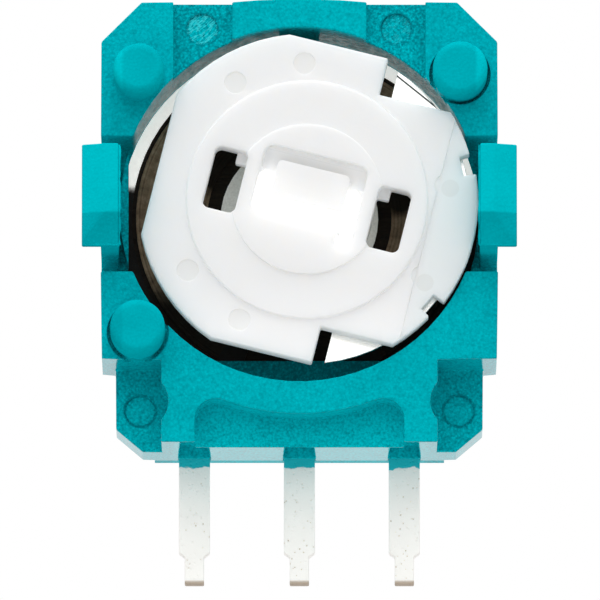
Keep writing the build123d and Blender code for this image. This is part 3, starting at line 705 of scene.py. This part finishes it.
def tinned():
    """Matt tin, speckled with fine pits, filmed with teal at the foot and duller at the sheared tip, with a
    painted glow on the bare tin only.
    """
    f = Finish("tin_matt")
    pits = 1.0 - f.cells(9).step(0.10, 0.34)
    fine = f.noise(26, detail=2.0, roughness=0.7)
    patch = f.noise(1.6, detail=3.0)
    tip = 1.0 - f.z.step(*SHEARED)
    spots = pits * f.noise(3.1, detail=1.0).step(0.35, 0.65)
    tone = spots * 0.75 + (fine - 0.5) * 0.5 + (patch - 0.5) * 0.3 + 0.15
    metal = f.mix(tip * 0.8, f.ramp(tone, *zip((0.0, 0.45, 1.0), TIN)), BRASS)
    film = (f.z + f.noise(3.0, detail=3.0) * 0.30).step(*FILM_END)
    colour = f.mix(film, metal, TEAL_BRIGHT)
    # Painted glow on the tin, none on the teal film or the sheared tip.
    glow = f.mix((film + tip).step(0.0, 0.9), TIN_LIT, BLACK)
    relief = f.bump(fine * 0.6 - pits, 0.012, 0.6)
    sockets = {"Metallic": 0.15 - film * 0.15, "Emission_Color": glow, "Emission_Strength": 1.0}
    return f.shows(Base_Color=colour, Roughness=0.42 + fine * 0.2, Normal=relief, **sockets)


tin = tinned()
for side in ("left", "centre", "right"):
    pin = softened("pin_" + side, "terminal_" + side, PIN_EDGE)
    fit(pin, tin, "housing", "tinned_pin", "terminal_" + side)


# Rotor
# One white acetal moulding, satin and a little translucent: stepped disc, lobe, windows, drive socket and
# tongue. Its edges are rounder than the housing's.

ROTOR_EDGE = 0.04
ROTOR_X = 0.18
ROTOR_Z = 5.79
ROTOR_TURN = math.radians(-14)
SOCKET_HALF = 1.28

# Where changes of the finish start and end, in depth
SLOT_FRONT = (FRONT - 0.20, FRONT + 0.15)
SLOT_REAR = (-0.30, -0.10)
DIMPLE_TOP = (-2.84, -2.83)
DIMPLE_FLOOR = (-2.818, -2.813)
PRESSED_FLOOR = (-2.79, -2.77)

# Up and across the rotor as it lies, and in height
SLOT_LOW = (-1.02, -0.98)
SLOT_HIGH = (0.50, 0.56)
SLOT_SIDE = (SOCKET_HALF, SOCKET_HALF + 0.04)
LOBE = (2.7, 3.3)
LIT_BELOW = (ROTOR_Z - 3.6, ROTOR_Z - 1.6)

PRESSED = ((3.584, 0.333), (2.979, -1.942))
PRESSED_RADIUS = 0.21
ACETAL = ((0.950, 0.942, 0.930), (0.942, 0.950, 0.950))
ACETAL_DIMPLE = (0.89, 0.89, 0.88)
# Painted shade of the lobe, greyer and bluer.
LOBE_SHADE_BLUE = (0.86, 0.90, 0.90)
ACETAL_PRESSED = (0.78, 0.80, 0.79)
# Painted glow: faint over the face, stronger low down, and strong in the drive socket.
FACE_LIT = ((0.035, 0.035, 0.035), (0.11, 0.11, 0.11))
SLOT_LIT = (0.36, 0.36, 0.36)
LIGHT_PATH = 0.0005           # how deep light goes into the plastic, in metres


def acetal():
    """Natural white acetal with faint flow marks, a little translucent, with a painted glow that is faint
    over the face, stronger low down and strongest in the drive socket, and painted shade on the lobe.
    """
    f = Finish("acetal_white")
    flow = f.noise(0.55, detail=3.0, distortion=0.6)
    fine = f.noise(14, detail=2.0)
    across = (f.x - ROTOR_X) * math.cos(ROTOR_TURN) + (f.z - ROTOR_Z) * math.sin(ROTOR_TURN)
    up = (f.z - ROTOR_Z) * math.cos(ROTOR_TURN) - (f.x - ROTOR_X) * math.sin(ROTOR_TURN)
    in_slot = (1.0 - abs(across).step(*SLOT_SIDE)) * up.step(*SLOT_LOW)
    in_slot = in_slot * (1.0 - up.step(*SLOT_HIGH)) * f.y.step(*SLOT_FRONT) * (1.0 - f.y.step(*SLOT_REAR))
    dimples = f.y.step(*DIMPLE_TOP) * (1.0 - f.y.step(*DIMPLE_FLOOR))
    pressed = f.disc(*PRESSED[0], PRESSED_RADIUS) + f.disc(*PRESSED[1], PRESSED_RADIUS)
    pressed = pressed * (1.0 - f.y.step(*PRESSED_FLOOR))
    warm = f.mix(flow.step(0.35, 0.65), *ACETAL)
    # Painted shade makes the lobe greyer and bluer.
    colour = f.mix(across.step(*LOBE), f.mix(dimples, warm, ACETAL_DIMPLE), LOBE_SHADE_BLUE)
    colour = f.mix(pressed * 0.6, colour, ACETAL_PRESSED)
    # Painted glow: faint over the face, stronger on its lower part, strongest in the drive socket.
    low = 1.0 - f.z.step(*LIT_BELOW)
    glow = f.mix(in_slot, f.mix(low, *FACE_LIT), SLOT_LIT)
    relief = f.bump(flow * 0.7 + fine * 0.12, 0.03, 0.5)
    through = {"Subsurface_Weight": 1.0, "Subsurface_Radius": (1.0, 0.95, 0.88)}
    through.update(Subsurface_Scale=LIGHT_PATH, Specular_IOR_Level=0.25, IOR=1.48)
    through.update(Emission_Color=glow, Emission_Strength=1.0)
    return f.shows(Base_Color=colour, Roughness=0.36 + fine * 0.12, Normal=relief, **through)


rotor = softened("rotor_moulding", "rotor", ROTOR_EDGE, segments=3)
fit(rotor, acetal(), "rotor", "rotor_plastic", "rotor")


# Wiper
# Nickel-silver spring sheet, stamped in one piece and staked under the rotor. Its wing shows in the
# corner cuts of the disc, and two split arms press on the carbon and on the collector ring.

WIPER_EDGE = 0.012
WING_BEND = 3.754             # from the axis to the line where the upper wing is bent down
WING_TURN = math.radians(64.9) + ROTOR_TURN
SHEET = ((0.93, 0.92, 0.88), (1.0, 1.0, 0.98))
BEND_SHADE = (0.02, 0.03, 0.03)


def spring_sheet():
    """Bright rolled sheet, with the fine lines of rolling and a painted shade line along the wing's bend.
    """
    f = Finish("spring_sheet")
    lines = f.noise(10, detail=3.0, at=f.vector(f.x * 0.3, f.y, f.z * 5.0))
    past = (f.x - ROTOR_X) * math.cos(WING_TURN) + (f.z - ROTOR_Z) * math.sin(WING_TURN) - WING_BEND
    bend = 1.0 - abs(past).step(0.012, 0.030)
    colour = f.mix(bend, f.mix(lines.step(0.3, 0.7), *SHEET), BEND_SHADE)
    relief = f.bump(lines, 0.004, 0.4)
    return f.shows(Base_Color=colour, Metallic=1.0, Roughness=0.20 + lines * 0.15, Normal=relief)


wiper = softened("wiper_sheet", "wiper", WIPER_EDGE)
fit(wiper, spring_sheet(), "rotor", "wiper_metal", "wiper")


shown_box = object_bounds()
boxes = {"frame": frame_box, "visual": shown_box}
{name: [list(corner) for corner in box] for name, box in boxes.items()}
